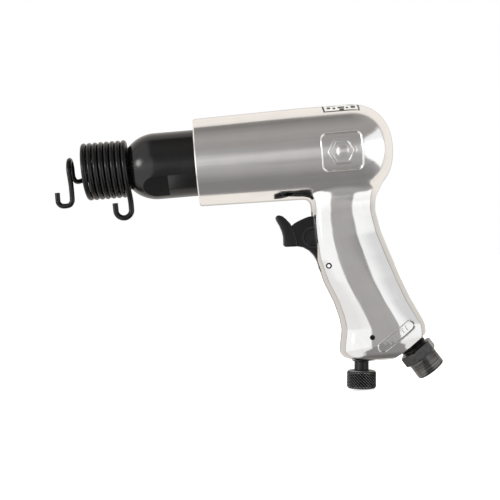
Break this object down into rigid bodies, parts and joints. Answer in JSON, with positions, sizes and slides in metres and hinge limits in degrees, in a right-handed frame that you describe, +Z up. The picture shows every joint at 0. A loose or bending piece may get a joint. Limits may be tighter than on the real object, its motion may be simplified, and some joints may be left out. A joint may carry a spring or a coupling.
{
  "type": "pneumatic rivet gun",
  "caption": "Pistol-grip air hammer for driving rivets, with a wire tool retainer, a trigger valve and an air regulator in the handle.",
  "frame": {"origin": "centre of the tool socket's mouth at the barrel's nose", "axes": "+X out of the tool socket towards the work, +Z up with the grip hanging towards -Z, +Y to the tool's left"},
  "size_m": [0.2144, 0.0526, 0.1645],
  "materials": {
    "cast_alloy": "polished casting",
    "black_steel": "black oxide",
    "bright_steel": "ground",
    "plate_alloy": "satin plate",
    "brass": "machined",
    "rubber": "moulded"
  },
  "bodies": {
    "main": {"housing": "cast_alloy", "barrel": "black_steel", "front_valve_block": "bright_steel", "rear_valve_block": "bright_steel", "valve_dowel": "bright_steel", "trigger_pin": "bright_steel", "throttle_bushing": "brass", "bushing_seal": "rubber", "stem_seal": "rubber", "regulator_pin": "bright_steel", "inlet_bushing": "black_steel", "inlet_screen": "bright_steel", "rating_plate": "plate_alloy", "retainer_coil": "black_steel", "throttle_spring": "bright_steel"},
    "trigger": {"trigger": "black_steel"},
    "throttle": {"throttle_valve": "bright_steel", "throttle_valve_face": "rubber"},
    "piston": {"piston": "bright_steel"},
    "valve": {"valve_disc": "black_steel"},
    "regulator": {"regulator": "black_steel", "regulator_seal": "rubber"},
    "latch": {"retainer_latch": "black_steel"}
  },
  "joints": [
    {"name": "trigger_pull", "type": "hinge", "parent": "main", "child": "trigger", "pos_m": [-0.1293, 0, -0.0653], "axis": [0, -1, 0], "range_deg": [0, 12], "stiffness_Nm_per_rad": 1.2, "springref_deg": -8.59},
    {"name": "throttle_slide", "type": "slide", "parent": "main", "child": "throttle", "axis": [-1, 0, 0], "range_m": [0, 0.0042], "deforming": ["throttle_spring"]},
    {"name": "piston_stroke", "type": "slide", "parent": "main", "child": "piston", "axis": [1, 0, 0], "range_m": [0, 0.058]},
    {"name": "valve_flutter", "type": "slide", "parent": "main", "child": "valve", "axis": [1, 0, 0], "range_m": [0, 0.0008]},
    {"name": "regulator_turn", "type": "hinge", "parent": "main", "child": "regulator", "pos_m": [-0.1444, 0, -0.122], "axis": [0.0872, 0, -0.9962], "continuous": true},
    {"name": "latch_swing", "type": "hinge", "parent": "main", "child": "latch", "pos_m": [0.0077, -0.0141, -0.0032], "axis": [1, 0, 0], "range_deg": [0, 50], "stiffness_Nm_per_rad": 0.25}
  ],
  "couplings": [
    {"joint": "throttle_slide", "follows": "trigger_pull", "m_per_rad": 0.0195}
  ]
}
